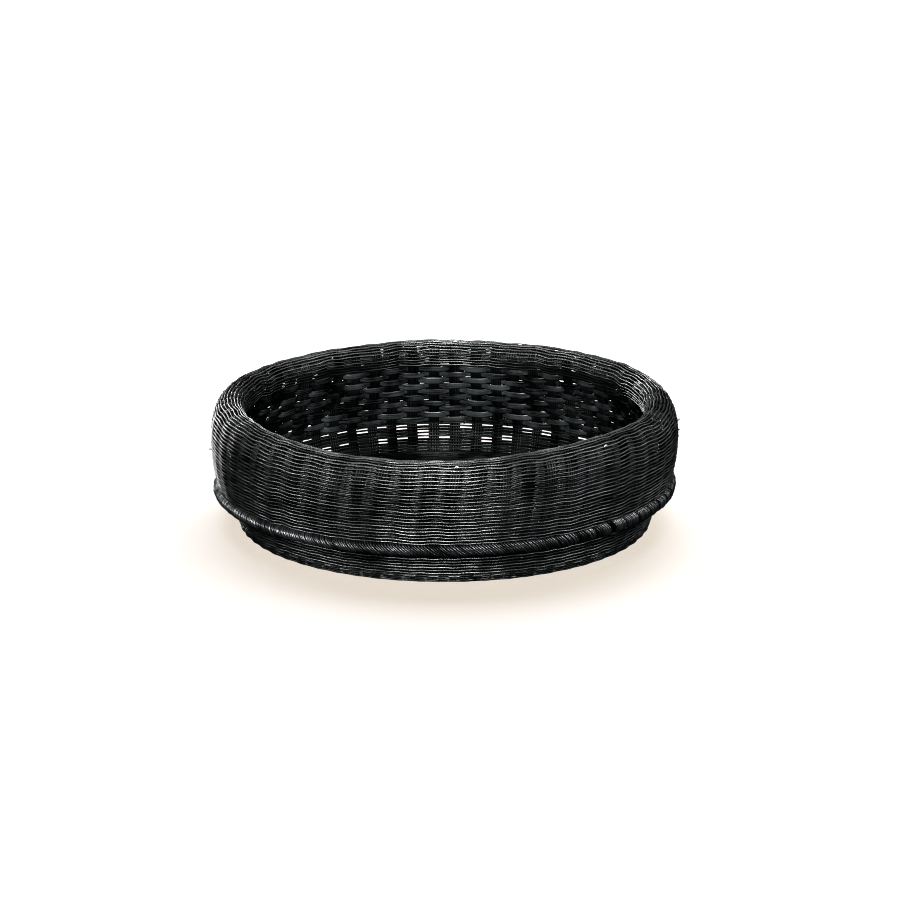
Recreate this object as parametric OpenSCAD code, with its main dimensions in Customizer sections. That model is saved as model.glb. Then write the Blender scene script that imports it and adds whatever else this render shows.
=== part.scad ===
// Round fruit basket woven from black cane, with a wall that is folded over and doubled.
// Every cane stake runs from the base up the foot and the inner wall, over the rim, and down
// the outer wall to a lashed belt. Woven skins lie on the stakes' open side.
// Sizes are in millimetres. +Z is up, and the origin is on the table under the centre.

/* [Overall size] */
// Outside diameter at the widest part of the wall
basket_d = 400; // [396:1:404]
// Height from the table to the top of the rim
basket_h = 108; // [106:1:110]
// Outside diameter of the foot where it meets the table
foot_d = 356; // [352:1:358]

/* [Cane sizes] */
// Diameter of a fine weaving strand
strand_d = 1.4; // [1.2:0.1:1.6]
// Diameter of one round cane in a stake
cane_d = 2.3; // [2:0.1:2.4]
// Width of a stake, which is a flat bundle of canes side by side
stake_w = 9.2; // [7:0.1:10]
// Number of stakes around the wall, two for each end of a base stick
stakes_n = 60; // [60]
// Thickness of a flat lining splint
splint_t = 0.8; // [0.6:0.1:1]
// Width of a flat lining splint
splint_w = 4.3; // [3.6:0.1:4.8]

/* [Wall shape] */
// Height of the widest part of the wall
bulge_z = 78; // [77:1:79]
// How much narrower the outer wall's foot is than its widest part, in radius
skirt_tuck = 3; // [2:0.5:4]
// Radius of the rim's top line
rim_line_r = 182; // [181:0.5:183]
// Outside radius of the rim's outer shoulder
shoulder_r = 15; // [14:0.5:16]
// Outside radius of the rim's inner roll
roll_r = 12; // [10:0.5:13]
// Height of the waist where the foot meets the inner wall
waist_z = 31; // [30.5:0.1:31.5]
// Outside radius of the foot weave at the waist, before the belt covers it
waist_r = 186.8; // [186:0.1:187]

/* [Lining] */
// Number of flat splints that are woven round the inner wall
splints_n = 10; // [6:1:10]
// Distance from the waist to the first splint
splint_start = 1.5; // [1:0.1:2]
// Distance from one splint to the next
splint_pitch = 5.55; // [5:0.05:5.6]

/* [Belt] */
// Radius of the belt's middle line
belt_r = 191.9; // [191.8:0.1:192.2]
// Height of the belt's middle line
belt_z = 33; // [32.8:0.1:33.2]
// Outside diameter of the lashed belt
belt_d = 10; // [9:0.1:10.4]
// Diameter of the cane hoop inside the belt
belt_core_d = 6; // [4:0.1:7]
// Outside diameter of the thicker splice in the belt
splice_d = 11.4; // [10.6:0.1:11.4]
// Direction of the splice's middle, in degrees from +X
splice_at = -52; // [-90:1:0]
// Length of the splice round the belt, in degrees
splice_span = 17; // [10:1:30]

/* [Base] */
// Height of the middle of the base's canes
base_z = 3; // [2.9:0.1:3.4]
// Radius at which the stakes' lower ends start
stake_start_r = 88; // [80:1:100]
// Sticks in the bundle that runs along X
long_sticks_n = 8; // [8]
// Sticks in the bundle that crosses it along Y
cross_sticks_n = 7; // [7]
// Distance between neighbouring sticks where the bundles cross
stick_pitch = 3.4; // [3.4:0.1:3.5]
// Half the length over which the sticks stay parallel
cross_half = 13.4; // [13.4:0.1:14]
// Radius at which the sticks have fanned out
fan_r = 26; // [25.5:0.5:27]
// Radius of the sticks' outer ends
stick_end_r = 168; // [160:1:170]
// Radius of the hole in the middle of the base weave
base_hole_r = 28; // [27.5:0.5:32]

/* [Hidden] */
$fn = 180;
clear = 0.05; // gap that keeps touching pieces apart
stake_half = cane_d / 2;
skin_mid = stake_half + strand_d / 2 + clear; // middle of a fine skin, from the stake's middle
splint_mid = stake_half + splint_t / 2 + clear; // middle of a splint, from the stake's middle
skin_out = skin_mid + strand_d / 2; // outside of a fine skin, from the stake's middle

// The stake's middle line is a chain of arcs and lines that meet smoothly, except at the waist.
bulge_r = basket_d / 2 - skin_out;
shoulder_mid = shoulder_r - skin_out;
roll_mid = roll_r - skin_out;
shoulder_z = basket_h - shoulder_r;
roll_z = basket_h - roll_r;
skirt_z = belt_z + splice_d / 2 + 2 * clear;
low_arc_r = (pow(bulge_z - skirt_z, 2) + pow(skirt_tuck, 2)) / (2 * skirt_tuck);
rim_in = bulge_r - rim_line_r;
rim_up = shoulder_z - bulge_z;
high_arc_r = (pow(rim_in, 2) + pow(rim_up, 2) - pow(shoulder_mid, 2)) / (2 * (rim_in - shoulder_mid));
meet_angle = atan2(rim_up, rim_line_r - bulge_r + high_arc_r);

flare = atan2(waist_r - foot_d / 2, waist_z); // the foot's lean away from the axis
foot_mid_r = foot_d / 2 - skin_out / cos(flare);
waist = [foot_mid_r + waist_z * tan(flare), waist_z];
waist_to_roll = norm([rim_line_r - waist.x, roll_z - waist_z]);
lean = asin(roll_mid / waist_to_roll) + atan2(waist.x - rim_line_r, roll_z - waist_z);
lining_len = sqrt(pow(waist_to_roll, 2) - pow(roll_mid, 2));
lining_end = splint_start + (splints_n - 1) * splint_pitch + splint_w;
band_start = lining_end + 0.9;

foot_weave_top = belt_z - 3.5;
bend_r = 4; // middle radius of the stake's turn from the base into the foot
bend_z = base_z + bend_r;
bend_x = foot_mid_r + bend_z * tan(flare) - bend_r / cos(flare);
base_weave_z = base_z + stake_half + clear; // underside of the base weave
base_weave_r = bend_x - 1;
cross_lift = cane_d / 2 + clear; // how far each bundle is lifted or sunk to pass the other
stick_overlap = 0.8; // how far two lengths of one stick run into each other at a bend

stake_angle = 360 / stakes_n;
stake_span = stake_w / bulge_r * 180 / PI;
stick_fan = 360 / (2 * (long_sticks_n + cross_sticks_n));

fine_black = [0.09, 0.10, 0.11];
splint_black = [0.13, 0.15, 0.17];
cane_black = [0.07, 0.08, 0.08];
belt_black = [0.11, 0.11, 0.12];

// ---- outlines in the plane of radius and height ----

// Part of a ring between two angles that are less than 120 degrees apart
module arc_band(centre, r_mid, half, from, to) {
    reach = 2.5 * (r_mid + half);
    translate(centre) intersection() {
        difference() {
            circle(r = r_mid + half);
            circle(r = r_mid - half);
        }
        polygon([[0, 0], reach * [cos(from), sin(from)], reach * [cos(to), sin(to)]]);
    }
}

// The four curved stretches of the wall, at a distance outwards from the stake's middle
module lower_stretch(out, half, from_z, to_z)
    arc_band([bulge_r - low_arc_r, bulge_z], low_arc_r + out, half,
             asin((from_z - bulge_z) / low_arc_r), asin((to_z - bulge_z) / low_arc_r));
module upper_stretch(out, half)
    arc_band([bulge_r - high_arc_r, bulge_z], high_arc_r + out, half, 0, meet_angle);
module shoulder_stretch(out, half)
    arc_band([rim_line_r, shoulder_z], shoulder_mid + out, half, meet_angle, 90);
module roll_stretch(out, half)
    arc_band([rim_line_r, roll_z], roll_mid + out, half, 90, 180 + lean);

// A point on the inner wall, by its distance up from the waist and towards the bowl
function lining_at(up, out) = waist + up * [-sin(lean), cos(lean)] - out * [cos(lean), sin(lean)];

// The straight inner wall between two distances up from the waist
module lining_stretch(out, half, from, to)
    polygon([lining_at(from, out - half), lining_at(to, out - half),
             lining_at(to, out + half), lining_at(from, out + half)]);

// A point on the foot, by its height and its distance outwards from the stake's middle
function foot_at(z, out) = [foot_mid_r + z * tan(flare) + out / cos(flare), z];

module foot_stretch(out, half, from_z, to_z)
    polygon([foot_at(from_z, out - half), foot_at(to_z, out - half),
             foot_at(to_z, out + half), foot_at(from_z, out + half)]);

// One stake from the base to the belt, seen from its side
module stake_outline() {
    translate([stake_start_r, base_z - stake_half])
        square([bend_x - stake_start_r, cane_d]);
    arc_band([bend_x, bend_z], bend_r, stake_half, -90, -flare);
    foot_stretch(0, stake_half, bend_z - bend_r * sin(flare), waist_z);
    translate(waist) circle(d = cane_d);
    lining_stretch(0, stake_half, 0, lining_len);
    roll_stretch(0, stake_half);
    shoulder_stretch(0, stake_half);
    upper_stretch(0, stake_half);
    lower_stretch(0, stake_half, skirt_z, bulge_z);
}

// ---- canes of the frame ----

module stakes() {
    color(cane_black)
        for (i = [0 : stakes_n - 1])
            rotate([0, 0, (i + 0.5) * stake_angle - stake_span / 2])
                rotate_extrude(angle = stake_span) stake_outline();
}

// A round cane from point a to point b, a little longer at both ends so that it joins the next
module rod(a, b) {
    run = b - a;
    length = norm(run);
    translate(a - run * stick_overlap / length)
        rotate([0, acos(run.z / length), atan2(run.y, run.x)])
            cylinder(h = length + 2 * stick_overlap, d = cane_d);
}

// One base stick along X: offset is its place in the bundle, fan the angle it spreads to
module base_stick(offset_y, fan, lift) {
    high = base_z + lift;
    for (end = [-1, 1]) {
        rod([end * cross_half, offset_y, high],
            [end * fan_r * cos(fan), fan_r * sin(fan), base_z]);
        rod([end * fan_r * cos(fan), fan_r * sin(fan), base_z],
            [end * stick_end_r * cos(fan), stick_end_r * sin(fan), base_z]);
    }
    rod([-cross_half, offset_y, high], [cross_half, offset_y, high]);
}

module stick_bundle(count, lift)
    for (i = [0 : count - 1]) {
        step = i - (count - 1) / 2;
        base_stick(step * stick_pitch, step * stick_fan, lift);
    }

module base_sticks_long() {
    color(cane_black) stick_bundle(long_sticks_n, cross_lift);
}

module base_sticks_cross() {
    color(cane_black) rotate([0, 0, 90]) stick_bundle(cross_sticks_n, -cross_lift);
}

// ---- woven skins ----

module base_weave() {
    color(fine_black)
        translate([0, 0, base_weave_z])
            difference() {
                cylinder(h = strand_d, r = base_weave_r);
                translate([0, 0, -1]) cylinder(h = strand_d + 2, r = base_hole_r);
            }
}

module foot_weave() {
    color(fine_black)
        rotate_extrude() foot_stretch(skin_mid, strand_d / 2, 0, foot_weave_top);
}

// One flat splint, counted from 1 at the waist
module lining_splint(i) {
    from = splint_start + (i - 1) * splint_pitch;
    color(splint_black)
        rotate_extrude() lining_stretch(splint_mid, splint_t / 2, from, from + splint_w);
}

module inner_band_weave() {
    color(fine_black)
        rotate_extrude() lining_stretch(skin_mid, strand_d / 2, band_start, lining_len - clear);
}

module rim_weave() {
    color(fine_black)
        rotate_extrude() {
            roll_stretch(skin_mid, strand_d / 2);
            shoulder_stretch(skin_mid, strand_d / 2);
        }
}

module outer_weave_upper() {
    color(fine_black)
        rotate_extrude() upper_stretch(skin_mid, strand_d / 2);
}

module outer_weave_lower() {
    color(fine_black)
        rotate_extrude() lower_stretch(skin_mid, strand_d / 2, skirt_z, bulge_z);
}

// ---- belt ----

module belt_core() {
    color(cane_black)
        rotate_extrude() translate([belt_r, belt_z]) circle(d = belt_core_d);
}

// A wrapped tube round the core, over a span of angles that starts at from
module belt_wrap(outer_d, from, span)
    rotate([0, 0, from])
        rotate_extrude(angle = span)
            translate([belt_r, belt_z]) difference() {
                circle(d = outer_d);
                circle(d = belt_core_d + 2 * clear);
            }

module belt_lashing() {
    color(belt_black)
        belt_wrap(belt_d, splice_at + splice_span / 2, 360 - splice_span);
}

module belt_splice() {
    color(belt_black)
        belt_wrap(splice_d, splice_at - splice_span / 2, splice_span);
}

stakes();
base_sticks_long();
base_sticks_cross();
base_weave();
foot_weave();
for (i = [1 : splints_n])
    lining_splint(i);
inner_band_weave();
rim_weave();
outer_weave_upper();
outer_weave_lower();
belt_core();
belt_lashing();
belt_splice();
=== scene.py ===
"""A round fruit basket of black cane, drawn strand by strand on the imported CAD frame.

The CAD model holds each part of the weave as a plain skin. Here every skin becomes its real
weave: level strands with a wrap that fills the gaps between the stakes, flat splints that pass
over and under the stakes, four round canes in every stake, and a belt wrapped turn by turn.

Lengths are in millimetres until a mesh is made. Angles round the basket are in radians from
+X, and the front is at -Y. A place on the wall is given by its distance along the stakes'
middle line, which starts at the outer wall's lower end, runs up over the rim and down the
inner wall and the foot, and ends in the base.
"""

import math

import bpy
import numpy as np
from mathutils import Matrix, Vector


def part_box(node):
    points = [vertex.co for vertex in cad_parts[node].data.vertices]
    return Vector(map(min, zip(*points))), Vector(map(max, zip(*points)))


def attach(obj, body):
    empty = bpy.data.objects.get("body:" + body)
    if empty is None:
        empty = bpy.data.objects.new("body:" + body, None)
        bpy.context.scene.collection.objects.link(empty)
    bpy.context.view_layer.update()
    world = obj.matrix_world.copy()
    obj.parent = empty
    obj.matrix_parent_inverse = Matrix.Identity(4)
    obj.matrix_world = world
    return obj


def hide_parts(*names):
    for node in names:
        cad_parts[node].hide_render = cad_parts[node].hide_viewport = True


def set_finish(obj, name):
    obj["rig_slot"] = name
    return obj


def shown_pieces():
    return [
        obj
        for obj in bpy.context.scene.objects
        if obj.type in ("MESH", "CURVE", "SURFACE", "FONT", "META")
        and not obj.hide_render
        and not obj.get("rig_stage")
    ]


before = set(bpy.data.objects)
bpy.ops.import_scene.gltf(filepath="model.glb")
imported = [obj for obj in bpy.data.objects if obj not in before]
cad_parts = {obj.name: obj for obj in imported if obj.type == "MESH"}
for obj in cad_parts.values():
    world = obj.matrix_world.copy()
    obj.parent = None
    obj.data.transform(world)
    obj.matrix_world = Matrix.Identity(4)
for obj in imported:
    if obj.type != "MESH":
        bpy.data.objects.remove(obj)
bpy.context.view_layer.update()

MM = 0.001
TURN = 2 * math.pi


def reach(node, corner, axis):
    """One number of a CAD node's box in millimetres: corner 0 is its lowest, 1 its highest."""
    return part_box(node)[corner][axis] / MM


# ---- sizes of the CAD model ----

BASKET_R = reach("outer_weave_lower", 1, 0)
HEIGHT = reach("rim_weave", 1, 2)
STAKES = 60
CANE_R = 1.15
STRAND_R = 0.7  # a fine strand's
SPLINT_THICK = 0.8
SPLINTS = 10
SPLINT_START = 1.5
SPLINT_PITCH = 5.55
SPLINT_WIDE = 4.3
SKIN = CANE_R + STRAND_R + 0.05  # from the middle line to a strand that lies on a stake
SKIN_OUT = SKIN + STRAND_R
SPLINT_SWING = CANE_R + SPLINT_THICK / 2 + 0.15
SPLINT_HALF = 2.55  # half a splint's width as drawn
SPLINT_STEPS = 10  # points on a splint from one stake to the next

BULGE_Z = 78.0
SKIRT_Z = reach("outer_weave_lower", 0, 2)
SKIRT_TUCK = 5.5  # how far the outer wall's lower edge is inside its widest part
SKIRT_HEM = 0.7  # how far the stakes run on below that edge
RIM_LINE_R = 182.0  # the rim's crest
SHOULDER_OUT_R = 15.0  # the bend of the rim's face outside the crest
ROLL_OUT_R = 12.0  # and inside it
SHOULDER_R = SHOULDER_OUT_R - SKIN_OUT
ROLL_R = ROLL_OUT_R - SKIN_OUT
SHOULDER_Z = HEIGHT - SHOULDER_OUT_R
ROLL_Z = HEIGHT - ROLL_OUT_R
WAIST = (184.1, 31.0)  # radius and height at which the inner wall meets the foot
BAND_START = 56.65  # from the waist up to the inner band

FOOT_LEAN = math.radians(15.85)
FOOT_EDGE_R = 178.0
BEND = (173.13, 7.0)  # the centre of the bend from the foot into the base
BEND_R = 4.0
BASE_Z = 3.0
STAKE_START_R = 88.0  # where the stakes begin in the base
BASE_END_R = 20.0  # the middle line's inner end

BELT_R = 191.9
BELT_Z = 33.0
BELT_OUT = (reach("belt_lashing", 1, 2) - reach("belt_lashing", 0, 2)) / 2
SPLICE_AT = math.radians(-52)
SPLICE_HALF = math.radians(8.5)

LONG_STICKS = 8
CROSS_STICKS = 7
STICK_PITCH = 3.4
CROSS_HALF = 13.4  # half the square in which the sticks cross
CROSS_LIFT = 1.2  # one bundle passes this far above the middle, and the other below
FAN_R = 26.0  # where the sticks have fanned out evenly
STICK_END_R = 168.0
BASE_HOLE_R = 28.0

# ---- how the weave is laid ----
# A pitch is the distance from one row to the next.

WALL_PITCH = 2.9
RIM_PITCH = 3.2
BAND_PITCH = 3.0
FOOT_PITCH = 2.95
NEVER_LOOSE = 9.0
FOOT_LOOSE = 0.36  # the lower this is, the more gaps in the foot are open slots
SLOT_PITCH = 11.8  # the foot is slackest at its top and again four rows below
SLOT_END = 18.0  # and tight from here down to the floor
FOOT_HALF = 0.8  # half the height of a strand in the foot
BORDER_HEIGHTS = (0.95, 2.7, 4.4, 6.1)
BORDER_INSET = 1.25
BORDER_TURNS = 30
BORDER_THICK = 0.72  # half a border strand's size out from the foot
BORDER_WIDE = 0.68  # and along it
BORDER_SHINE = 0.3
BASE_PITCH = 3.3
BASE_RISE = 5.0  # how far up the bend the base's rows start
BASE_SPLIT_R = 118.0  # the base's rows are in two pieces, which meet here
ROW_STEPS = 8  # points on a row from one post to the next
DENSE_STEPS = 4  # and where the posts stand close together
STRAND_HALF = 0.68  # half a fine strand's height
GRAIN_LONG = 900.0  # each strand's grain starts somewhere on a length of cane this long
FOOT_SHINE = 0.8  # of the straight strands on the foot's outside
# Through this value the bowl side's strands are also painted darker, as painted shade inside the
# bowl.
BOWL_SHINE_AND_SHADE = 0.15  # and inside it, where they are duller
WRAP_SHINE = 0.2  # and the wraps are scuffed
WALL_DIP = 0.6  # how far a row of the outer wall sinks in between two stakes
WALL_LEAN = math.radians(2.2)  # how far the stakes of the outer wall lean round the basket
FRONT = -math.pi / 2
LEFT = math.pi
RIGHT = 0.0
LEFT_BACK = math.radians(130)  # where the foot's weave is slackest
FAR_SIDE = math.radians(65)  # where the outer wall's wraps come closest to the posts


# ---- smooth unevenness ----

def smooth_step(value):
    """0 below 0, 1 above 1, and a smooth rise between."""
    value = np.clip(value, 0, 1)
    return value * value * (3 - 2 * value)


def apart(theta, centre):
    """The angle from centre to theta, the short way round."""
    return (theta - centre + math.pi) % TURN - math.pi


class Ripple:
    """Smooth unevenness round the basket that also changes along the wall."""

    def __init__(self, seed, size, orders, drift=0.0):
        """orders says how many times each wave goes round, and size their usual height."""
        rng = np.random.default_rng(seed)
        self.orders = np.array(orders)
        self.phase = rng.uniform(0, TURN, len(orders))
        self.drift = rng.uniform(-drift, drift, len(orders))
        share = rng.uniform(0.5, 1.0, len(orders))
        self.share = size * share / np.sqrt(np.sum(share ** 2) / 2) / 2

    def __call__(self, theta, along=0.0):
        """The unevenness at an angle, and at a distance along the wall if there is drift."""
        theta = np.asarray(theta, float)
        waves = [
            share * np.cos(order * theta + phase + drift * along)
            for share, order, phase, drift in zip(self.share, self.orders, self.phase, self.drift)
        ]
        return np.sum(waves, axis=0)


def fresh_ripple(rng, size, orders):
    """A ripple for one strand only."""
    return Ripple(rng.integers(1 << 30), size, orders)


RIM_WAVE = Ripple(11, 0.7, [2, 3, 5, 7, 11])
RIM_EDGE = Ripple(12, 0.35, [17, 23, 31, 41])
OVAL = Ripple(13, 0.9, [2, 3, 4, 7])
BUNCH = Ripple(14, 0.75, [3, 5, 9, 13, 19, 26, 34, 45], drift=0.07)
SLACK = Ripple(16, 1.0, [3, 8, 14, 21, 33, 47], drift=0.45)
TILT = 1.4  # how much higher the right side stands than the middle
FRONT_DIP = 1.8  # how much lower the mouth is at the front
LEFT_LIFT = 2.6  # and how much higher on the left
RIM_LIFT = 0.8  # and all round
FULLER = 0.8  # how much wider the wall is than the even one, all round
FULLER_LEFT = 1.4
FULLER_RIGHT = 0.7


def towards(theta, centre):
    """1 at the angle centre, falling to 0 a quarter turn to either side of it."""
    return np.clip(np.cos(theta - centre), 0, 1)


def settle(points):
    """The basket's hand-made unevenness: a slight tilt, an uneven rim and an oval mouth."""
    x, y, z = points.T
    theta = np.arctan2(y, x)
    body = smooth_step((z - 6) / 32)
    top = smooth_step((z - 45) / 55)
    front = apart(theta, FRONT - 0.2)
    dip = -FRONT_DIP * np.cos(3.2 * front) * np.clip(np.cos(0.72 * front), 0, 1)
    left = towards(theta, LEFT) ** 4
    right = towards(theta, RIGHT) ** 4
    mouth = dip + LEFT_LIFT * left + RIM_WAVE(theta) + RIM_EDGE(theta) + RIM_LIFT
    rise = body * TILT * x / BASKET_R + top * mouth
    full = FULLER + FULLER_LEFT * left + FULLER_RIGHT * right
    spread = 1 + body * (OVAL(theta) + full) / BASKET_R
    return np.column_stack([x * spread, y * spread, z + rise])


# ---- the wall's middle line ----

def arc(centre, radius, start, end):
    """Points on an arc between two angles in radians, a quarter of a millimetre apart."""
    count = max(4, int(abs(end - start) * radius * 4))
    angle = np.linspace(start, end, count)
    return np.column_stack([centre[0] + radius * np.cos(angle),
                            centre[1] + radius * np.sin(angle)])


def line(start, end):
    """Points on a straight line, a quarter of a millimetre apart."""
    count = max(4, int(math.dist(start, end) * 4))
    return np.linspace(start, end, count)


def run_along(points):
    """The distance from the first point to each point of a path."""
    steps = np.linalg.norm(np.diff(points, axis=0), axis=1)
    return np.concatenate([[0], np.cumsum(steps)])


def softened(values, half=5):
    """A running mean, so that the kink at the waist is a bend."""
    before = 2 * values[0] - values[half:0:-1]
    after = 2 * values[-1] - values[-2:-half - 2:-1]
    padded = np.concatenate([before, values, after])
    width = 2 * half + 1
    return np.convolve(padded, np.ones(width) / width, mode="valid")


class Wall:
    """The stakes' middle line in the plane of radius and height."""

    def __init__(self, stretches):
        """Joins the stretches, and keeps in ends how far along the line each one ends."""
        self.ends = np.cumsum([run_along(stretch)[-1] for stretch in stretches])
        points = np.vstack([stretches[0]] + [stretch[1:] for stretch in stretches[1:]])
        run = run_along(points)
        self.s = np.arange(0, run[-1], 0.25)
        self.r = softened(np.interp(self.s, run, points[:, 0]))
        self.z = softened(np.interp(self.s, run, points[:, 1]))
        ahead = np.column_stack([np.gradient(self.r), np.gradient(self.z)])
        ahead /= np.linalg.norm(ahead, axis=1)[:, None]
        self.out_r = ahead[:, 1]
        self.out_z = -ahead[:, 0]

    def facing(self, s, theta):
        """The direction out of the wall's visible side."""
        out_r = np.interp(s, self.s, self.out_r)
        out_z = np.interp(s, self.s, self.out_z)
        return np.column_stack([out_r * np.cos(theta), out_r * np.sin(theta), out_z])

    def place(self, s, theta, out):
        """The point at a distance out from the middle line."""
        out_r = np.interp(s, self.s, self.out_r)
        out_z = np.interp(s, self.s, self.out_z)
        r = np.interp(s, self.s, self.r) + out * out_r
        z = np.interp(s, self.s, self.z) + out * out_z
        return np.column_stack([r * np.cos(theta), r * np.sin(theta), z])

    def radius(self, s):
        """The middle line's radius."""
        return np.interp(s, self.s, self.r)


def make_wall():
    """The middle line: skirt, bulge, rim, inner wall, foot, bend and base."""
    bulge_r = BASKET_R - SKIN_OUT
    drop = BULGE_Z - SKIRT_Z
    low_r = (drop ** 2 + SKIRT_TUCK ** 2) / (2 * SKIRT_TUCK)
    inward = bulge_r - RIM_LINE_R
    upward = SHOULDER_Z - BULGE_Z
    high_r = (inward ** 2 + upward ** 2 - SHOULDER_R ** 2) / (2 * (inward - SHOULDER_R))
    meet = math.atan2(upward, RIM_LINE_R - bulge_r + high_r)
    to_roll = math.dist((RIM_LINE_R, ROLL_Z), WAIST)
    lean = math.asin(ROLL_R / to_roll) + math.atan2(WAIST[0] - RIM_LINE_R, ROLL_Z - WAIST[1])
    roll_end = (RIM_LINE_R - ROLL_R * math.cos(lean), ROLL_Z - ROLL_R * math.sin(lean))
    bend_top = (BEND[0] + BEND_R * math.cos(FOOT_LEAN), BEND[1] - BEND_R * math.sin(FOOT_LEAN))
    return Wall([
        arc((bulge_r - low_r, BULGE_Z), low_r, math.asin(-(drop + SKIRT_HEM) / low_r), 0),
        arc((bulge_r - high_r, BULGE_Z), high_r, 0, meet),
        arc((RIM_LINE_R, SHOULDER_Z), SHOULDER_R, meet, math.pi / 2),
        arc((RIM_LINE_R, ROLL_Z), ROLL_R, math.pi / 2, math.pi + lean),
        line(roll_end, WAIST),
        line(WAIST, bend_top),
        arc(BEND, BEND_R, -FOOT_LEAN, -math.pi / 2),
        line((BEND[0], BASE_Z), (BASE_END_R, BASE_Z)),
    ])


wall = make_wall()
BULGE_S, SHOULDER_S, RIM_S, ROLL_S, WAIST_S, BEND_S, BASE_S, _ = wall.ends


def base_s(radius):
    """The distance along the wall's middle line at a radius in the base."""
    return BASE_S + BEND[0] - radius


def base_radius(s):
    """The radius in the base at a distance along the wall's middle line."""
    return BEND[0] - (s - BASE_S)


# ---- where the stakes stand ----

STAKE_SHIFT = np.random.default_rng(21).normal(0, math.radians(0.22), (3, STAKES))


def stake_angles(s):
    """Each stake's angle where it is at a distance s along the wall."""
    even = (np.arange(STAKES) + 0.5) * TURN / STAKES
    lean = WALL_LEAN * smooth_step((RIM_S - s) / RIM_S * 0.9) * (s < RIM_S)
    shift = STAKE_SHIFT[0] + STAKE_SHIFT[1] * math.sin(s / 22) + STAKE_SHIFT[2] * math.cos(s / 35)
    freedom = 1.0 if s < ROLL_S else 0.4
    return even - lean + shift * freedom


def stick_angles():
    """The angles of the base sticks' arms."""
    count = 2 * (LONG_STICKS + CROSS_STICKS)
    return (np.arange(count) + 0.5) * TURN / count


def between(posts, t):
    """The angle at a place t counted in posts, so that 3 is at post 3 and 3.5 is in the gap."""
    start = np.floor(t).astype(int)
    share = t - start
    low = posts[start % len(posts)] + TURN * (start // len(posts))
    high = posts[(start + 1) % len(posts)] + TURN * ((start + 1) // len(posts))
    return low + (high - low) * share


# ---- meshes of strands ----

def round_section(sides):
    """A round strand's section: for each corner, its place along facing and across it."""
    angle = np.arange(sides) * TURN / sides
    return np.column_stack([np.cos(angle), np.sin(angle)])


def flat_section():
    """A flat splint's section: nearly square sides with soft corners and a crowned face."""
    corners = [(0.62, 0.97), (0.92, 0.8), (1.06, 0.3)]
    front = np.array(corners + [(out, -across) for out, across in corners[::-1]])
    back = -front * [0.92, 1.0]
    return np.vstack([[(0.0, 1.0)], front, [(0.0, -1.0)], back])


STRAND_SECTION = round_section(8)
CANE_SECTION = round_section(7)
THIN_SECTION = round_section(6)
STICK_SECTION = round_section(10)


def tube(path, facing, thick, wide, section, closed):
    """The points of a strand's skin, one ring for each point of its path, and its direction."""
    if closed:
        ahead = np.roll(path, -1, axis=0) - np.roll(path, 1, axis=0)
    else:
        ahead = np.gradient(path, axis=0)
    ahead /= np.linalg.norm(ahead, axis=1)[:, None]
    side = np.cross(ahead, facing)
    side /= np.linalg.norm(side, axis=1)[:, None]
    outward = np.cross(side, ahead)
    rings = (path[:, None] + thick[:, None, None] * section[None, :, :1] * outward[:, None]
             + wide[:, None, None] * section[None, :, 1:] * side[:, None])
    return rings, ahead


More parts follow.
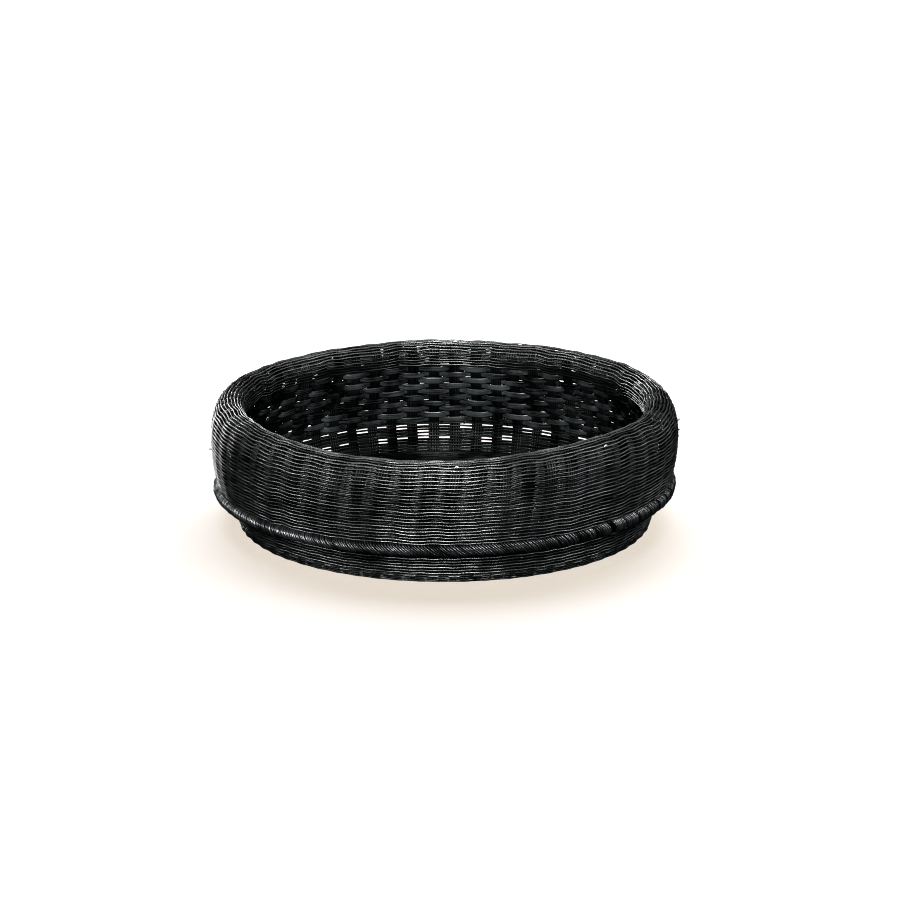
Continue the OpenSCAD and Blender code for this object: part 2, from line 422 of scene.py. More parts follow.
class Weave:
    """Gathers strands and makes one mesh of them.

    Each point also gets a grain (its place along the strand and in its section), a tone (how much
    dye has gone from the strand, and on the lining's sides, the foot's inside and the belt's
    grooves painted shade as well) and a shine, which the materials read.
    """

    def __init__(self):
        self.points = []
        self.grain = []
        self.tone = []
        self.shine = []
        self.quads = []
        self.caps = []
        self.count = 0

    def strand(self, path, facing, thick, wide, tone, section=STRAND_SECTION, closed=False,
               start=0.0, shine=1.0):
        """One strand: thick is its half size along facing, and wide across it."""
        steps = len(path)
        sides = len(section)
        thick = np.broadcast_to(thick, steps)
        wide = np.broadcast_to(wide, steps)
        rings, ahead = tube(path, facing, thick, wide, section, closed)
        along = start + run_along(path)
        grain = np.empty((steps, sides, 3))
        grain[:, :, 0] = along[:, None]
        grain[:, :, 1:] = section[None]
        tones = np.broadcast_to(np.broadcast_to(tone, steps)[:, None], (steps, sides))

        first = self.count + np.arange(steps if closed else steps - 1) * sides
        following = first + sides
        if closed:
            following[-1] = self.count
        k = np.arange(sides)
        k_next = (k + 1) % sides
        quads = np.stack([first[:, None] + k, first[:, None] + k_next,
                          following[:, None] + k_next, following[:, None] + k], axis=-1)
        self.points.append(rings.reshape(-1, 3))
        self.grain.append(grain.reshape(-1, 3))
        self.tone.append(tones.reshape(-1))
        self.shine.append(np.full(tones.size, shine))
        self.quads.append(quads.reshape(-1, 4))
        self.count += steps * sides
        if not closed:
            last = first[-1] + sides
            self.cap(path[0], -ahead[0], first[0] + k[::-1], thick[0], along[0], tones[0, 0])
            self.cap(path[-1], ahead[-1], last + k, thick[-1], along[-1], tones[-1, 0])

    def cap(self, middle, direction, ring, size, along, tone):
        """A slightly domed cut end."""
        self.points.append((middle + direction * size * 0.25)[None])
        self.grain.append(np.array([[along, 0.0, 0.0]]))
        self.tone.append(np.array([tone]))
        self.shine.append(np.zeros(1))
        tip = np.full(len(ring), self.count)
        self.caps.append(np.column_stack([ring, np.roll(ring, -1), tip]))
        self.count += 1

    def piece(self, name, material, slot, cad_node):
        """The gathered strands as one Blender object that stands for a CAD node."""
        points = settle(np.vstack(self.points))
        quads = np.vstack(self.quads)
        caps = np.vstack(self.caps) if self.caps else np.empty((0, 3), int)
        mesh = bpy.data.meshes.new(name)
        mesh.vertices.add(len(points))
        mesh.vertices.foreach_set("co", (points * MM).astype(np.float32).ravel())
        corners = np.concatenate([quads.ravel(), caps.ravel()])
        sizes = np.concatenate([np.full(len(quads), 4), np.full(len(caps), 3)])
        mesh.loops.add(len(corners))
        mesh.loops.foreach_set("vertex_index", corners.astype(np.int32))
        mesh.polygons.add(len(sizes))
        starts = np.concatenate([[0], np.cumsum(sizes)[:-1]])
        mesh.polygons.foreach_set("loop_start", starts.astype(np.int32))
        mesh.polygons.foreach_set("loop_total", sizes.astype(np.int32))
        mesh.update(calc_edges=True)
        mesh.shade_smooth()
        grain = mesh.attributes.new("grain", "FLOAT_VECTOR", "POINT")
        grain.data.foreach_set("vector", np.vstack(self.grain).astype(np.float32).ravel())
        for label, values in (("tone", self.tone), ("shine", self.shine)):
            layer = mesh.attributes.new(label, "FLOAT", "POINT")
            layer.data.foreach_set("value", np.concatenate(values).astype(np.float32))
        mesh.materials.append(material)
        piece = bpy.data.objects.new(name, mesh)
        bpy.context.collection.objects.link(piece)
        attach(piece, "root")
        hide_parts(cad_node)
        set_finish(piece, slot)


# ---- materials ----

def node(tree, kind, inputs=None, **settings):
    """A shader node with its settings and the constants on its sockets."""
    made = tree.nodes.new(kind)
    for name, value in settings.items():
        setattr(made, name, value)
    for name, value in (inputs or {}).items():
        made.inputs[name].default_value = value
    return made


def noise(tree, coordinates, scale, detail=2.0, rough=0.5):
    """Smooth noise from 0 to 1."""
    made = node(tree, "ShaderNodeTexNoise", {"Scale": scale, "Detail": detail, "Roughness": rough})
    tree.links.new(coordinates, made.inputs["Vector"])
    return made.outputs["Fac"]


def between_values(tree, value, low_in, high_in, low, high):
    """A value that goes from low to high while another goes from low_in to high_in."""
    made = node(tree, "ShaderNodeMapRange", {
        "From Min": low_in, "From Max": high_in, "To Min": low, "To Max": high})
    tree.links.new(value, made.inputs["Value"])
    return made.outputs["Result"]


def combine(tree, operation, a, b):
    """The sum or product of two values, each a socket or a number."""
    made = node(tree, "ShaderNodeMath", operation=operation)
    for socket, value in zip(made.inputs, (a, b)):
        if isinstance(value, (int, float)):
            socket.default_value = value
        else:
            tree.links.new(value, socket)
    return made.outputs[0]


def mix_colours(tree, share, a, b):
    """Colour a where share is 0, b where it is 1."""
    made = node(tree, "ShaderNodeMix", {6: (*a, 1.0), 7: (*b, 1.0)}, data_type="RGBA")
    tree.links.new(share, made.inputs[0])
    return made.outputs[2]


def total(tree, *values):
    """The sum of any number of values."""
    result = values[0]
    for value in values[1:]:
        result = combine(tree, "ADD", result, value)
    return result


def attribute(tree, name, output="Fac"):
    """What Weave stored for each point under a name."""
    return node(tree, "ShaderNodeAttribute", attribute_name=name).outputs[output]


def stretched(tree, coordinates, scale):
    """Coordinates with each axis scaled, so that noise on them comes out long and thin."""
    made = node(tree, "ShaderNodeMapping", {"Scale": scale})
    tree.links.new(coordinates, made.inputs["Vector"])
    return made.outputs["Vector"]


def cane_material(name, dark, light, gloss, streaks, bump=0.2, shine=(0.15, 0.6),
                  fibre_shine=0.0):
    """Dyed cane: long fibres, strands of uneven tone and shine, and places with thin dye.

    dark and light are the colours under thick and thin dye, gloss the usual roughness, streaks
    how fine the fibres are, bump how far they stand up, and shine the specular level of a dark
    strand and of a pale one. fibre_shine is how much that level differs from fibre to fibre.
    """
    material = bpy.data.materials.new(name)
    material.use_nodes = True
    tree = material.node_tree
    surface = tree.nodes["Principled BSDF"]
    grain = attribute(tree, "grain", "Vector")
    tone = attribute(tree, "tone")
    place = node(tree, "ShaderNodeTexCoord").outputs["Object"]
    fibre = noise(tree, stretched(tree, grain, (0.045, streaks, streaks)), 1.0, 4.0, 0.6)
    patch = noise(tree, stretched(tree, grain, (0.13, 0.3, 0.3)), 1.0)
    cloud = noise(tree, place, 28.0, 3.0)

    # This sum takes in the tone attribute, which carries painted shade on some pieces as well as
    # faded dye.
    fade_and_painted_shade = total(tree, between_values(tree, fibre, 0.36, 0.68, 0.0, 0.6),
                 between_values(tree, patch, 0.35, 0.7, -0.1, 0.3),
                 combine(tree, "MULTIPLY", tone, 0.55),
                 between_values(tree, cloud, 0.35, 0.65, -0.2, 0.1))
    share = between_values(tree, fade_and_painted_shade, 0.05, 1.15, 0.0, 1.0)
    tree.links.new(mix_colours(tree, share, dark, light), surface.inputs["Base Color"])

    rough = total(tree, between_values(tree, fibre, 0.3, 0.7, gloss + 0.1, gloss - 0.06),
                  between_values(tree, patch, 0.3, 0.7, 0.08, -0.08))
    tree.links.new(rough, surface.inputs["Roughness"])

    relief = node(tree, "ShaderNodeBump", {"Strength": bump, "Distance": 0.08 * MM})
    tree.links.new(fibre, relief.inputs["Height"])
    tree.links.new(relief.outputs["Normal"], surface.inputs["Normal"])

    sheen = total(tree, between_values(tree, tone, -0.2, 0.9, *shine),
                  between_values(tree, cloud, 0.35, 0.65, -0.1, 0.1))
    if fibre_shine:
        sheen = total(tree, sheen,
                      between_values(tree, fibre, 0.42, 0.62, -fibre_shine, fibre_shine))
    level = combine(tree, "MULTIPLY", sheen, attribute(tree, "shine"))
    tree.links.new(level, surface.inputs["Specular IOR Level"])
    return material


# ---- the fine weave: rows of wrapped twining ----

def saturated(value, hardness):
    """A value from -1 to 1 pushed out to the ends of that range, harder if hardness is high."""
    return np.tanh(hardness * value) / math.tanh(hardness)


def openness(posts, t, s_row, loose):
    """How far each gap between two posts is left open above a row, from 0 to 1."""
    gap = between(posts, np.floor(t) + 0.5)
    low = s_row > WAIST_S + SLOT_END
    row = -1.0 if low else 0.75 * math.cos(TURN * (s_row - WAIST_S) / SLOT_PITCH)
    slack = SLACK(gap, s_row) + row + 0.4 * np.cos(gap - LEFT_BACK)
    return smooth_step((slack - loose) / 0.25)


def wrapped_row(weave, s_row, posts, rng, pitch, sides=((1, 1.0),), loose=NEVER_LOOSE,
                wander=1.0, dip=0.3, wrap_out=0.2, wrap_edge=0.62, wrap_grow=0.15, tight=1.0,
                half=STRAND_HALF, steps=ROW_STEPS, section=STRAND_SECTION):
    """A strand that runs straight over the posts, and a dull wrap behind them.

    The wrap comes out in each gap between two posts and closes the space up to the next row.
    sides has 1 for a straight strand on the wall's face or -1 for one on its other side, each with
    its shine, and half is half the height of such a strand. A strand with less shine is also
    painted darker, as painted shade.
    Where the weave is slacker than loose, the wrap stays down and leaves a slot. wander is how
    much the row strays from level, and dip how far it sinks in between the posts. wrap_out is
    how far out the wrap comes, wrap_edge how near to the middle of the gap (from 0 at the posts
    to 1 in the middle), and wrap_grow how much taller it gets there. tight is how much closer
    to the posts it comes at the back.
    """
    t = np.arange(len(posts) * steps) / steps
    theta = between(posts, t)
    gap = np.sin(math.pi * t) ** 2
    own = fresh_ripple(rng, 0.26, [7, 16, 29, 43, 60])
    middle = s_row + wander * (BUNCH(theta, s_row) + own(theta))
    for side, shine in sides:
        size = rng.normal(1.0, 0.08)
        puff = fresh_ripple(rng, 0.22, [11, 23, 37, 53, 71])
        shade = fresh_ripple(rng, 0.4, [5, 9, 17, 31, 47])
        out = side * (SKIN - dip * gap) + puff(theta)
        # Painted shade: a strand with less shine is painted darker, most of all on the foot's
        # inside in the bowl.
        tone = rng.uniform(0.0, 1.0) + shade(theta) - 0.5 * (1 - shine)
        weave.strand(wall.place(middle, theta, out), wall.facing(middle, theta), size * STRAND_R,
                     size * half, tone, section=section, closed=True,
                     start=rng.uniform(0, GRAIN_LONG), shine=shine)
    slot = openness(posts, t, s_row, loose)
    edge = wrap_edge - 0.3 * tight * smooth_step(2 * np.cos(theta - FAR_SIDE))
    rise = smooth_step(0.5 + 2.7 * (gap - edge)) * (1 - slot)
    shade = fresh_ripple(rng, 0.3, [9, 31, 60])
    out = (wrap_out + SKIN) * rise - SKIN + 0.6 * slot
    along = middle + pitch * (0.5 + 0.06 * np.cos(7 * theta + s_row)) * rise
    weave.strand(wall.place(along, theta, out), wall.facing(along, theta), STRAND_R,
                 STRAND_HALF + wrap_grow * rise, rng.uniform(0.6, 1.5) + shade(theta),
                 section=section, closed=True, start=rng.uniform(0, GRAIN_LONG), shine=WRAP_SHINE)


def row_places(start, end, pitch, out=SKIN_OUT):
    """Distances along the wall at which rows lie an even pitch apart on its visible face."""
    s = np.arange(start, end, 0.1)
    face = wall.place(s, np.zeros(len(s)), out)
    run = run_along(face)
    count = max(1, round(run[-1] / pitch))
    places = (np.arange(count) + 0.5) * run[-1] / count
    return np.interp(places, run, s)


def wrapped_piece(name, material, cad_node, places, pitch, seed, **row):
    """Rows of wrapped twining as one piece, with row's settings for all of them."""
    weave = Weave()
    rng = np.random.default_rng(seed)
    for s_row in places:
        wrapped_row(weave, s_row, stake_angles(s_row), rng, pitch, **row)
    weave.piece(name, material, "fine_strand", cad_node)


def halves(places):
    """A list cut in two, so that no piece has too many triangles."""
    middle = len(places) // 2
    return places[:middle], places[middle:]


def make_fine_weave(material):
    """The outer wall, the rim, the inner band and the foot."""
    skirt, bulge = halves(row_places(0.0, BULGE_S, WALL_PITCH))
    top = row_places(BULGE_S, SHOULDER_S, WALL_PITCH)
    shoulder, roll = halves(row_places(SHOULDER_S, ROLL_S, RIM_PITCH))
    band = row_places(ROLL_S, WAIST_S - BAND_START, BAND_PITCH)
    foot_high, foot_low = halves(row_places(WAIST_S - 1.3, BEND_S + 1.6, FOOT_PITCH, 0.0))
    outer = {"dip": WALL_DIP}
    foot = {"sides": ((1, BOWL_SHINE_AND_SHADE), (-1, FOOT_SHINE)), "loose": FOOT_LOOSE, "wander": 0.4,
            "dip": 0.5, "wrap_out": 0.0, "wrap_edge": 0.3, "wrap_grow": 0.4, "tight": 0.0,
            "half": FOOT_HALF}
    pieces = (
        ("outer_weave_skirt", "outer_weave_lower", skirt, WALL_PITCH, 31, outer),
        ("outer_weave_bulge", "outer_weave_lower", bulge, WALL_PITCH, 32, outer),
        ("outer_weave_top", "outer_weave_upper", top, WALL_PITCH, 33, outer),
        ("rim_weave_shoulder", "rim_weave", shoulder, RIM_PITCH, 34, {}),
        ("rim_weave_roll", "rim_weave", roll, RIM_PITCH, 35, {}),
        ("inner_band", "inner_band_weave", band, BAND_PITCH, 36, {}),
        ("foot_weave_high", "foot_weave", foot_high, FOOT_PITCH, 37, foot),
        ("foot_weave_low", "foot_weave", foot_low, FOOT_PITCH, 39, foot),
    )
    for name, cad_node, places, pitch, seed, row in pieces:
        wrapped_piece(name, material, cad_node, places, pitch, seed, **row)
    make_foot_border(material)


def make_foot_border(material):
    """Four cords of two twisted strands outside the stakes, on which the basket stands."""
    weave = Weave()
    rng = np.random.default_rng(38)
    theta = np.arange(0, TURN, TURN / 720)
    facing = np.column_stack([np.cos(theta), np.sin(theta), np.zeros(len(theta))])
    for height in BORDER_HEIGHTS:
        r = FOOT_EDGE_R - BORDER_INSET + height * math.tan(FOOT_LEAN)
        sway = fresh_ripple(rng, 0.2, [5, 11, 19, 31])
        for strand in range(2):
            turn = BORDER_TURNS * theta + strand * math.pi
            ring = r + 0.4 * np.cos(turn) + sway(theta) + 0.35 * np.cos(STAKES * theta)
            level = height + 0.3 * np.sin(turn) * (1 - 0.3 * (height < 1))
            path = np.column_stack([ring * np.cos(theta), ring * np.sin(theta), level])
            weave.strand(path, facing, BORDER_THICK, BORDER_WIDE, rng.uniform(0.0, 0.5),
                         closed=True, start=rng.uniform(0, GRAIN_LONG), shine=BORDER_SHINE)
    weave.piece("foot_border", material, "fine_strand", "foot_weave")


def outside_s(height):
    """The distance along the wall at a height on its outer side."""
    outer = wall.s < RIM_S
    return float(np.interp(height, wall.z[outer], wall.s[outer]))


# A cut end's angle in degrees, its height and how far it stands out of the wall.
CUT_ENDS = ((180, 62, 4.5), (176, 68, 3.0), (0, 84, 4.5), (-4, 80, 3.0))
# A nick's angle in degrees, and its place along the wall from the rim's crest.
NICKS = ((87, 2), (68, 1), (56, 3), (-46, -11), (-87, -8))


def make_ends(dyed, bare):
    """Cut strand ends that stand out of the wall, and nicks where bare cane shows."""
    t = np.linspace(0, 1, 8)
    ends = Weave()
    for degrees, height, length in CUT_ENDS:
        theta = math.radians(degrees) + 0.7 * t * length / BASKET_R
        s = outside_s(height) + 0.4 * length * t
        out = SKIN - 0.6 + 0.7 * length * t ** 1.5
        ends.strand(wall.place(s, theta, out), wall.facing(s, theta), 0.5, 0.5, 0.8)
    ends.piece("cut_ends", dyed, "fine_strand", "outer_weave_upper")
    nicks = Weave()
    bow = np.sin(math.pi * t)
    for degrees, from_crest in NICKS:
        theta = math.radians(degrees) + (t - 0.5) * 4.0 / BASKET_R
        s = RIM_S + from_crest + 0.8 * bow
        out = SKIN + 0.2 + 0.9 * bow
        size = 0.2 + 0.25 * bow
        nicks.strand(wall.place(s, theta, out), wall.facing(s, theta), size, size, 0.6)
    nicks.piece("rim_nicks", bare, "fine_strand", "rim_weave")


# ---- the base ----

def base_posts(s_row):
    """What a row of the base is woven round: stakes, sticks, or both where they overlap."""
    radius = base_radius(s_row)
    if radius > STICK_END_R:
        return stake_angles(s_row)
    if radius > STAKE_START_R + 2:
        return np.sort(np.concatenate([stake_angles(s_row), stick_angles()]))
    return stick_angles()


def make_base_weave(material):
    """The base's rows, from the bend at the foot in to the open middle."""
    outer = Weave()
    inner = Weave()
    rng = np.random.default_rng(41)
    for s_row in row_places(BASE_S - BASE_RISE, base_s(BASE_HOLE_R + 1), BASE_PITCH, 0.0):
        weave = outer if base_radius(s_row) > BASE_SPLIT_R else inner
        posts = base_posts(s_row)
        steps = DENSE_STEPS if len(posts) > STAKES else ROW_STEPS
        wrapped_row(weave, s_row, posts, rng, BASE_PITCH, wrap_out=0.0, wrap_edge=0.35,
                    wrap_grow=0.4, tight=0.0, steps=steps, section=THIN_SECTION)
    outer.piece("base_weave_outer", material, "base_strand", "base_weave")
    inner.piece("base_weave_inner", material, "base_strand", "base_weave")


def stick_path(step, lift):
    """One base stick along X: straight through the middle, then fanned out to both sides."""
    fan = step * TURN / (2 * (LONG_STICKS + CROSS_STICKS))
    half = [(0.0, step * STICK_PITCH, BASE_Z + lift),
            (CROSS_HALF, step * STICK_PITCH, BASE_Z + lift),
            (FAN_R * math.cos(fan), FAN_R * math.sin(fan), BASE_Z),
            (STICK_END_R * math.cos(fan), STICK_END_R * math.sin(fan), BASE_Z)]
    corners = np.array([(-x, y, z) for x, y, z in half[:0:-1]] + half)
    run = run_along(corners)
    at = np.arange(0, run[-1], 2.0)
    path = np.column_stack([np.interp(at, run, corners[:, axis]) for axis in range(3)])
    for _ in range(3):
        path[1:-1] = (path[:-2] + 2 * path[1:-1] + path[2:]) / 4
    return path


def make_base_sticks(material):
    """The two bundles of sticks that cross in the middle of the base."""
    rng = np.random.default_rng(42)
    bundles = (("base_sticks_long", LONG_STICKS, CROSS_LIFT, False),
               ("base_sticks_cross", CROSS_STICKS, -CROSS_LIFT, True))
    for name, count, lift, across in bundles:
        weave = Weave()
        for i in range(count):
            path = stick_path(i - (count - 1) / 2, lift)
            if across:
                path = path[:, [1, 0, 2]] * [-1, 1, 1]
            facing = np.tile([0.0, 0.0, 1.0], (len(path), 1))
            wave = np.linspace(0, rng.uniform(9, 15), len(path)) + rng.uniform(0, 6)
            size = CANE_R * (1 + 0.05 * np.sin(wave))
            weave.strand(path, facing, size, size, rng.uniform(0.2, 0.8),
                         section=STICK_SECTION, start=rng.uniform(0, GRAIN_LONG))
        weave.piece(name + "_canes", material, "cane", name)


# ---- the stakes: flat bundles of four round canes ----

def stake_samples(end):
    """Distances along the wall at which a cane is drawn, closer together where it bends."""
    return np.concatenate([
        np.arange(0.3, SHOULDER_S, 4.0),
        np.arange(SHOULDER_S, ROLL_S, 1.5),
        np.arange(ROLL_S, WAIST_S - 3, 2.0),
        np.arange(WAIST_S - 3, WAIST_S + 3, 1.0),
        np.arange(WAIST_S + 3, BEND_S, 4.0),
        np.arange(BEND_S, BASE_S + 1, 1.0),
        np.arange(BASE_S + 2, end, 8.0),
        [end],
    ])


def stake_swing(stake, s):
    """How far a stake bows out and in between the lining's splints, and out from the rim."""
    lining = smooth_step((s - ROLL_S - 6) / 4) * smooth_step((WAIST_S - s) / 4)
    over = np.cos(math.pi * (WAIST_S - s - SPLINT_START - SPLINT_WIDE / 2) / SPLINT_PITCH)
    return -0.35 * (-1) ** stake * over * lining + 0.5 * (1 - smooth_step((s - ROLL_S) / 6))


def make_stakes(material):
    """Every stake's four canes. The two in the middle are thicker, and end nearer the middle."""
    rng = np.random.default_rng(51)
    back = Weave()
    front = Weave()
    for stake in range(STAKES):
        for cane in range(4):
            middle = cane in (1, 2)
            inner_end = rng.uniform(89, 96) if middle else rng.uniform(113, 121)
            s = stake_samples(base_s(inner_end))
            theta = np.array([stake_angles(v)[stake] for v in s])
            phase = rng.uniform(0, TURN, 2)
            offset = (cane - 1.5) * 2 * CANE_R + 0.1 * np.sin(s / 13 + phase[0])
            theta = theta + offset / wall.radius(s)
            out = stake_swing(stake, s) + 0.08 * np.sin(s / 9 + phase[1])
            size = CANE_R * rng.uniform(1.08, 1.15)
            flat = CANE_R * (0.78 if middle else 0.68)
            tone = rng.uniform(0.1, 0.9) + 0.15 * np.sin(s / 17 + phase[0])
            weave = back if stake < STAKES // 2 else front
            weave.strand(wall.place(s, theta, out), wall.facing(s, theta), flat, size, tone,
                         section=CANE_SECTION, start=rng.uniform(0, GRAIN_LONG))
    back.piece("stake_canes_back", material, "cane", "stakes")
    front.piece("stake_canes_front", material, "cane", "stakes")


# ---- the lining: flat splints over and under the stakes ----

def make_lining(material):
    """Each splint on its own: it dips behind every second stake, and is painted darker at the
    sides, as painted shade.
    """
    rng = np.random.default_rng(61)
    section = flat_section()
    for i in range(SPLINTS):
        up = SPLINT_START + i * SPLINT_PITCH + SPLINT_WIDE / 2
        s_row = WAIST_S - up
        t = np.arange(STAKES * SPLINT_STEPS) / SPLINT_STEPS
        theta = between(stake_angles(s_row), t)
        swing = np.cos(math.pi * t) * (-1) ** i
        sway = fresh_ripple(rng, 0.32, [4, 9, 15, 23, 34])
        width = fresh_ripple(rng, 0.3, [3, 8, 14, 27, 40])
        shade = fresh_ripple(rng, 0.45, [5, 11, 19, 30, 47])
        puff = fresh_ripple(rng, 0.12, [7, 17, 30, 41])
        # Painted shade: the splints are painted darker where the lining faces left or right.
        tone = rng.uniform(0.2, 0.8) + shade(theta) - 0.7 * np.abs(np.cos(theta))
        out = SPLINT_SWING * saturated(swing, 2.6) + puff(theta)
        along = s_row + 0.6 * BUNCH(theta, s_row) + sway(theta)
        weave = Weave()
        weave.strand(wall.place(along, theta, out), wall.facing(along, theta),
                     SPLINT_THICK / 2, SPLINT_HALF + width(theta), tone, section=section,
                     closed=True, start=rng.uniform(0, GRAIN_LONG))
        weave.piece(f"lining_{i + 1:02d}", material, "splint", f"lining_splint_{i + 1}")


# ---- the belt ----

BELT_WAVE = Ripple(71, 0.3, [3, 5, 8, 13])
BEAD_STEP = math.radians(5.4)  # from one groove to the next, right of the splice
BEAD_START = SPLICE_AT + math.radians(2.5)
BEAD_END = math.radians(35)
GROOVE = math.radians(1.15)  # half a groove's width
GROOVE_DEPTH = 0.28  # as a share of the belt's radius
CORE_CANES = 6
CORE_R = 1.9
CORE_CANE_R = 0.95
CORE_TURNS = 25
WRAP_HALF = 0.85  # half a lashing strand's width
WRAP_PITCH = 1.65
SPLICE_OUT_R = 6.0
SPLICE_HALF_STRAND = 1.1
SPLICE_PITCH = 2.1


def belt_point(theta, around, radius):
    """A point on the belt: around is the angle round its section, from outside to the top."""
    level = BELT_Z - 1.6 * towards(theta, LEFT) ** 2 + BELT_WAVE(theta)
    r = BELT_R + radius * np.cos(around)
    return np.column_stack([r * np.cos(theta), r * np.sin(theta), level + radius * np.sin(around)])


def belt_facing(theta, around):
    """The direction out of the belt."""
    flat = np.cos(around)
    return np.column_stack([flat * np.cos(theta), flat * np.sin(theta), np.sin(around)])


def belt_slant(theta):
    """How far the wraps lean from straight across the belt: most at the front and the back."""
    return math.radians(46) * np.abs(np.sin(theta)) ** 3 + math.radians(6)


def bead(theta):
    """0 in the grooves that divide the wraps on the belt's right side, 1 between them."""
    place = (theta - BEAD_START) / BEAD_STEP
    groove = 1 - smooth_step(np.abs(place - np.round(place)) * BEAD_STEP / GROOVE)
    right = smooth_step(apart(theta, SPLICE_AT - SPLICE_HALF) / 0.03)
    right = right * smooth_step(apart(BEAD_END, theta) / 0.3)
    return 1 - groove * right


def wrap_angles(start, span, spacing):
    """Angles along the belt at which turns of lashing start, spaced to lie side by side."""
    theta = [start]
    while theta[-1] < start + span:
        thicker = 1 + 0.4 * float(towards(theta[-1], LEFT)) ** 2
        step = spacing * thicker / math.cos(float(belt_slant(theta[-1])))
        theta.append(theta[-1] + step / BELT_R)
    return np.array(theta)


def lashing(weave, start, span, spacing, half, radius, rng, turn_steps=14):
    """One long strand wound round the belt in slanting turns; half is half its width.

    It is thicker on the left, and its turns stand a little unevenly.
    """
    centres = wrap_angles(start, span, spacing)
    turns = len(centres) - 1
    whole = np.arange(turns + 1)
    k = np.arange(turns * turn_steps + 1) / turn_steps
    theta = np.interp(k, whole, centres)
    jitter = np.interp(k, whole, rng.normal(0, 0.25, turns + 1))
    around = -TURN * k
    left = towards(theta, LEFT) ** 2
    right = smooth_step(apart(theta, SPLICE_AT) / 0.1) * smooth_step(apart(0.6, theta) / 0.4)
    groove = 1 - bead(theta)
    size = radius * (1 - GROOVE_DEPTH * groove) + 0.4 * left + 1.0 * right
    lean = -size * np.tan(belt_slant(theta)) * np.sin(around) + jitter
    turned = theta + lean / BELT_R
    stand = np.interp(k, whole, rng.normal(0, 0.3, turns + 1))
    path = belt_point(turned, around, size + stand)
    # Painted shade: the wraps are painted darker in the grooves between the beads.
    tone = np.interp(k, whole, rng.uniform(0.0, 1.0, turns + 1)) - groove
    half = half * (1 + 0.35 * left)
    weave.strand(path, belt_facing(turned, around), half * 0.95, half * 0.88, tone,
                 section=THIN_SECTION, start=rng.uniform(0, GRAIN_LONG))


def make_belt(cane, lashed):
    """The belt's core of canes, its lashing, and the thicker wraps of its splice."""
    rng = np.random.default_rng(72)
    core = Weave()
    for i in range(CORE_CANES):
        theta = np.arange(0, TURN, TURN / 240)
        around = theta * CORE_TURNS + i * TURN / CORE_CANES
        core.strand(belt_point(theta, around, CORE_R), belt_facing(theta, around), CORE_CANE_R,
                    CORE_CANE_R, rng.uniform(0.2, 0.8), section=THIN_SECTION, closed=True)
    core.piece("belt_core_canes", cane, "cane", "belt_core")

    wraps = Weave()
    lashing(wraps, SPLICE_AT + SPLICE_HALF, TURN - 2 * SPLICE_HALF, WRAP_PITCH, WRAP_HALF,
            BELT_OUT + 0.35 - WRAP_HALF, rng)
    wraps.piece("belt_wraps", lashed, "lashing", "belt_lashing")

    splice = Weave()
    lashing(splice, SPLICE_AT - SPLICE_HALF, 2 * SPLICE_HALF, SPLICE_PITCH, SPLICE_HALF_STRAND,
            SPLICE_OUT_R - SPLICE_HALF_STRAND, rng)
    splice.piece("belt_splice_wraps", lashed, "lashing", "belt_splice")


# ---- floor, light and camera ----

SWEEP_Y = 3.0  # metres behind the basket at which the floor starts to rise
SWEEP_R = 2.4
CAMERA_FAR = 4.0
CAMERA_RISE = math.radians(17.8)


def make_floor():
    """A wide pale floor that runs up into the background."""
    level = np.concatenate([[-6.0, -3.0], np.linspace(-2, SWEEP_Y, 11)])
    rise = np.linspace(0.1, 1.5, 14)
    depth = np.concatenate([level, SWEEP_Y + SWEEP_R * np.sin(rise)])
    height = np.concatenate([np.zeros(len(level)), SWEEP_R - SWEEP_R * np.cos(rise)])
    across = np.linspace(-6, 6, 13)
    points = [(x, y, z) for y, z in zip(depth, height) for x in across]
    wide = len(across)
    faces = [(i * wide + j, i * wide + j + 1, (i + 1) * wide + j + 1, (i + 1) * wide + j)
             for i in range(len(depth) - 1) for j in range(wide - 1)]
    mesh = bpy.data.meshes.new("floor")
    mesh.from_pydata(points, [], faces)
    mesh.shade_smooth()
    mesh.materials.append(floor_material())
    floor = bpy.data.objects.new("floor", mesh)
    bpy.context.collection.objects.link(floor)
    floor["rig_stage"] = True


def floor_material():
    """A warm pale floor that glows, less near the basket as a painted shadow, and burns out to
    white away from it.

    Rays that leave the basket meet a dimmer floor, as in a studio masked with black card.
    """
    material = bpy.data.materials.new("studio_floor")
    material.use_nodes = True
    tree = material.node_tree
    surface = tree.nodes["Principled BSDF"]
    place = node(tree, "ShaderNodeTexCoord").outputs["Object"]
    cloud = noise(tree, place, 3.0)
    tree.links.new(mix_colours(tree, cloud, (0.32, 0.355, 0.42), (0.34, 0.375, 0.44)),
                   surface.inputs["Base Color"])
    surface.inputs["Roughness"].default_value = 0.6
    surface.inputs["Specular IOR Level"].default_value = 0.1
    surface.inputs["Emission Color"].default_value = (0.55, 0.503, 0.445, 1.0)
    # Painted shadow: the floor's glow is weakest round a point just in front of the basket's
    # middle, and it grows with distance from that point.
    shifted = node(tree, "ShaderNodeVectorMath", {1: (0.03, 0.1, 0.0)}, operation="ADD")
    tree.links.new(place, shifted.inputs[0])
    distance = node(tree, "ShaderNodeVectorMath", operation="LENGTH")
    tree.links.new(shifted.outputs[0], distance.inputs[0])
    glow_with_painted_shadow = between_values(tree, distance.outputs["Value"], 0.2, 0.46, 1.0, 1.45)
    tree.links.new(glow_with_painted_shadow, surface.inputs["Emission Strength"])
    dim = node(tree, "ShaderNodeBsdfDiffuse", {"Color": (0.08, 0.08, 0.08, 1.0)})
    rays = node(tree, "ShaderNodeLightPath")
    mix = node(tree, "ShaderNodeMixShader")
    tree.links.new(rays.outputs["Is Camera Ray"], mix.inputs[0])
    tree.links.new(dim.outputs[0], mix.inputs[1])
    tree.links.new(surface.outputs[0], mix.inputs[2])
    tree.links.new(mix.outputs[0], tree.nodes["Material Output"].inputs["Surface"])
    return material


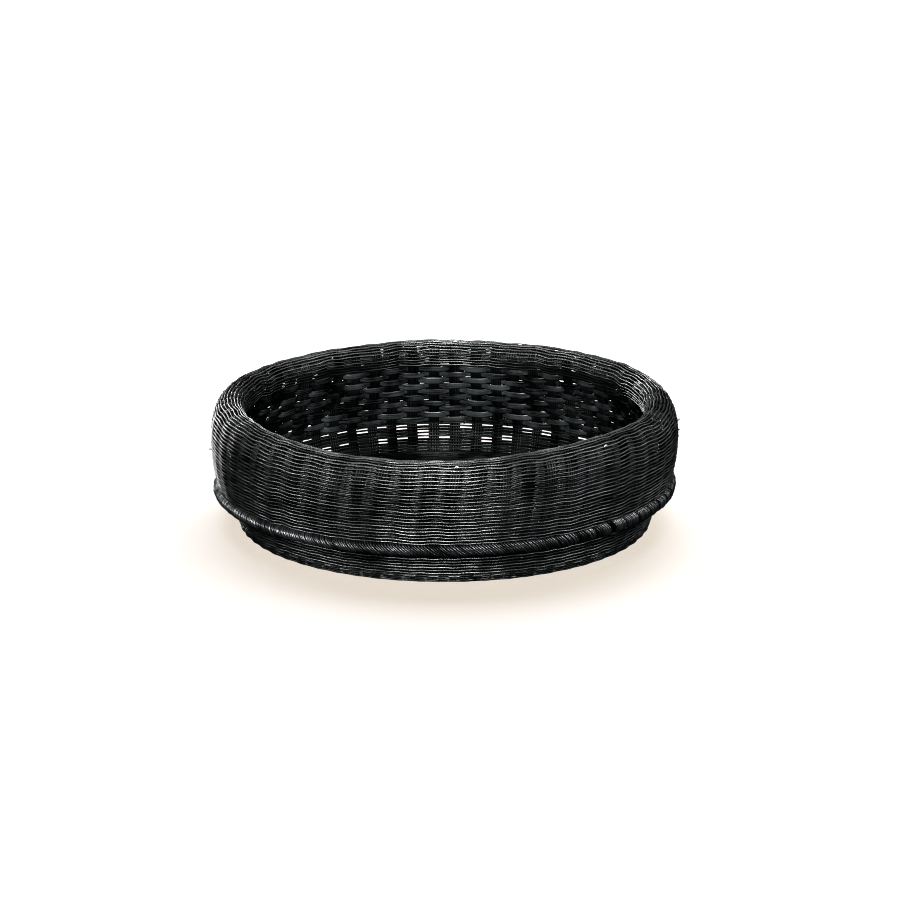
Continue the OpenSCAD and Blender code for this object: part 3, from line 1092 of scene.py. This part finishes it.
def area_light(name, place, size, power):
    """A soft white rectangle that faces the basket."""
    light = bpy.data.lights.new(name, "AREA")
    light.shape = "RECTANGLE"
    light.size = size[0]
    light.size_y = size[1]
    light.energy = power
    lamp = bpy.data.objects.new(name, light)
    lamp.location = place
    aim = Vector((0.0, 0.0, 0.06))
    lamp.rotation_euler = (aim - Vector(place)).to_track_quat("-Z", "Y").to_euler()
    bpy.context.collection.objects.link(lamp)
    return lamp


def lit_pieces(name, pieces):
    """A collection for a light's light linking."""
    lit = bpy.data.collections.new(name)
    for piece in pieces:
        lit.objects.link(piece)
    return lit


def make_lights(pieces):
    """A soft light overhead, and strips all round that light the basket and not the floor.

    The two side strips are flagged off the bowl as well, so that its sides stay dark.
    """
    area_light("overhead", (0.0, 1.2, 2.1), (2.6, 1.6), 60)
    basket = lit_pieces("lit_basket", pieces)
    bowl = ("lining", "inner_band", "stake", "base")
    outside = lit_pieces("lit_outside", [p for p in pieces if not p.name.startswith(bowl)])
    strips = (
        ("left_back", (-1.1, 2.0, 0.9), (0.5, 0.9), 36, basket),
        ("right_back", (1.7, 1.2, 0.9), (0.5, 0.9), 10, basket),
        ("front", (-0.15, -2.6, 1.4), (2.0, 0.5), 400, basket),
        ("front_left", (-2.5, -0.9, 0.8), (1.8, 0.4), 120, outside),
        ("front_right", (2.5, -0.9, 0.8), (1.8, 0.4), 80, outside),
    )
    for name, place, size, power, lit in strips:
        strip = area_light(name, place, size, power)
        strip.light_linking.receiver_collection = lit


def make_world():
    """White behind everything, and a dimmer room in the reflections."""
    world = bpy.data.worlds.new("studio")
    world.use_nodes = True
    tree = world.node_tree
    room = tree.nodes["Background"]
    room.inputs["Color"].default_value = (0.96, 0.98, 1.0, 1.0)
    room.inputs["Strength"].default_value = 0.015
    seen = node(tree, "ShaderNodeBackground", {"Color": (1.0, 1.0, 1.0, 1.0), "Strength": 1.0})
    rays = node(tree, "ShaderNodeLightPath")
    mix = node(tree, "ShaderNodeMixShader")
    tree.links.new(rays.outputs["Is Camera Ray"], mix.inputs[0])
    tree.links.new(room.outputs[0], mix.inputs[1])
    tree.links.new(seen.outputs[0], mix.inputs[2])
    tree.links.new(mix.outputs[0], tree.nodes["World Output"].inputs["Surface"])
    bpy.context.scene.world = world


def make_camera():
    """A long lens, well away from the basket, that looks down by about 18 degrees."""
    camera = bpy.data.cameras.new("camera")
    camera.sensor_width = 36.0
    camera.lens = 184.0
    camera.clip_end = 50.0
    eye = bpy.data.objects.new("camera", camera)
    eye.location = (0.0, -CAMERA_FAR * math.cos(CAMERA_RISE), CAMERA_FAR * math.sin(CAMERA_RISE))
    aim = Vector((0.0045, 0.0, 0.061))
    eye.rotation_euler = (aim - eye.location).to_track_quat("-Z", "Y").to_euler()
    bpy.context.collection.objects.link(eye)
    bpy.context.scene.camera = eye


# ---- the scene ----

BLACK = (0.0002, 0.0003, 0.0003)
SOOT = (0.0003, 0.0004, 0.0004)


def make_basket():
    """All the basket's pieces, with their materials."""
    fine = cane_material("fine_black_strand", BLACK, (0.006, 0.0072, 0.0073), gloss=0.34,
                         streaks=1.6, bump=0.12, shine=(0.2, 0.75))
    splint = cane_material("black_splint", BLACK, (0.026, 0.029, 0.03), gloss=0.42,
                           streaks=3.2, bump=0.9, shine=(0.06, 0.42), fibre_shine=0.22)
    cane = cane_material("black_cane", SOOT, (0.002, 0.0024, 0.0025), gloss=0.5,
                         streaks=2.2, shine=(0.02, 0.1))
    base = cane_material("black_base_strand", SOOT, (0.003, 0.0034, 0.0036), gloss=0.55,
                         streaks=1.8, shine=(0.02, 0.1))
    lashed = cane_material("black_lashing", (0.0004, 0.0005, 0.0005), (0.01, 0.0114, 0.012),
                           gloss=0.3, streaks=1.6, shine=(0.04, 0.38))
    bare = cane_material("bare_cane", (0.12, 0.11, 0.095), (0.36, 0.34, 0.31), gloss=0.5,
                         streaks=1.6)
    make_stakes(cane)
    make_base_sticks(cane)
    make_base_weave(base)
    make_fine_weave(fine)
    make_ends(fine, bare)
    make_lining(splint)
    make_belt(cane, lashed)


make_basket()
make_floor()
make_lights([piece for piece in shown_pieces() if "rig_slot" in piece])
make_world()
make_camera()
bpy.context.scene.view_settings.view_transform = "Standard"
bpy.context.scene.view_settings.look = "High Contrast"
bpy.context.scene.cycles.filter_width = 1.1
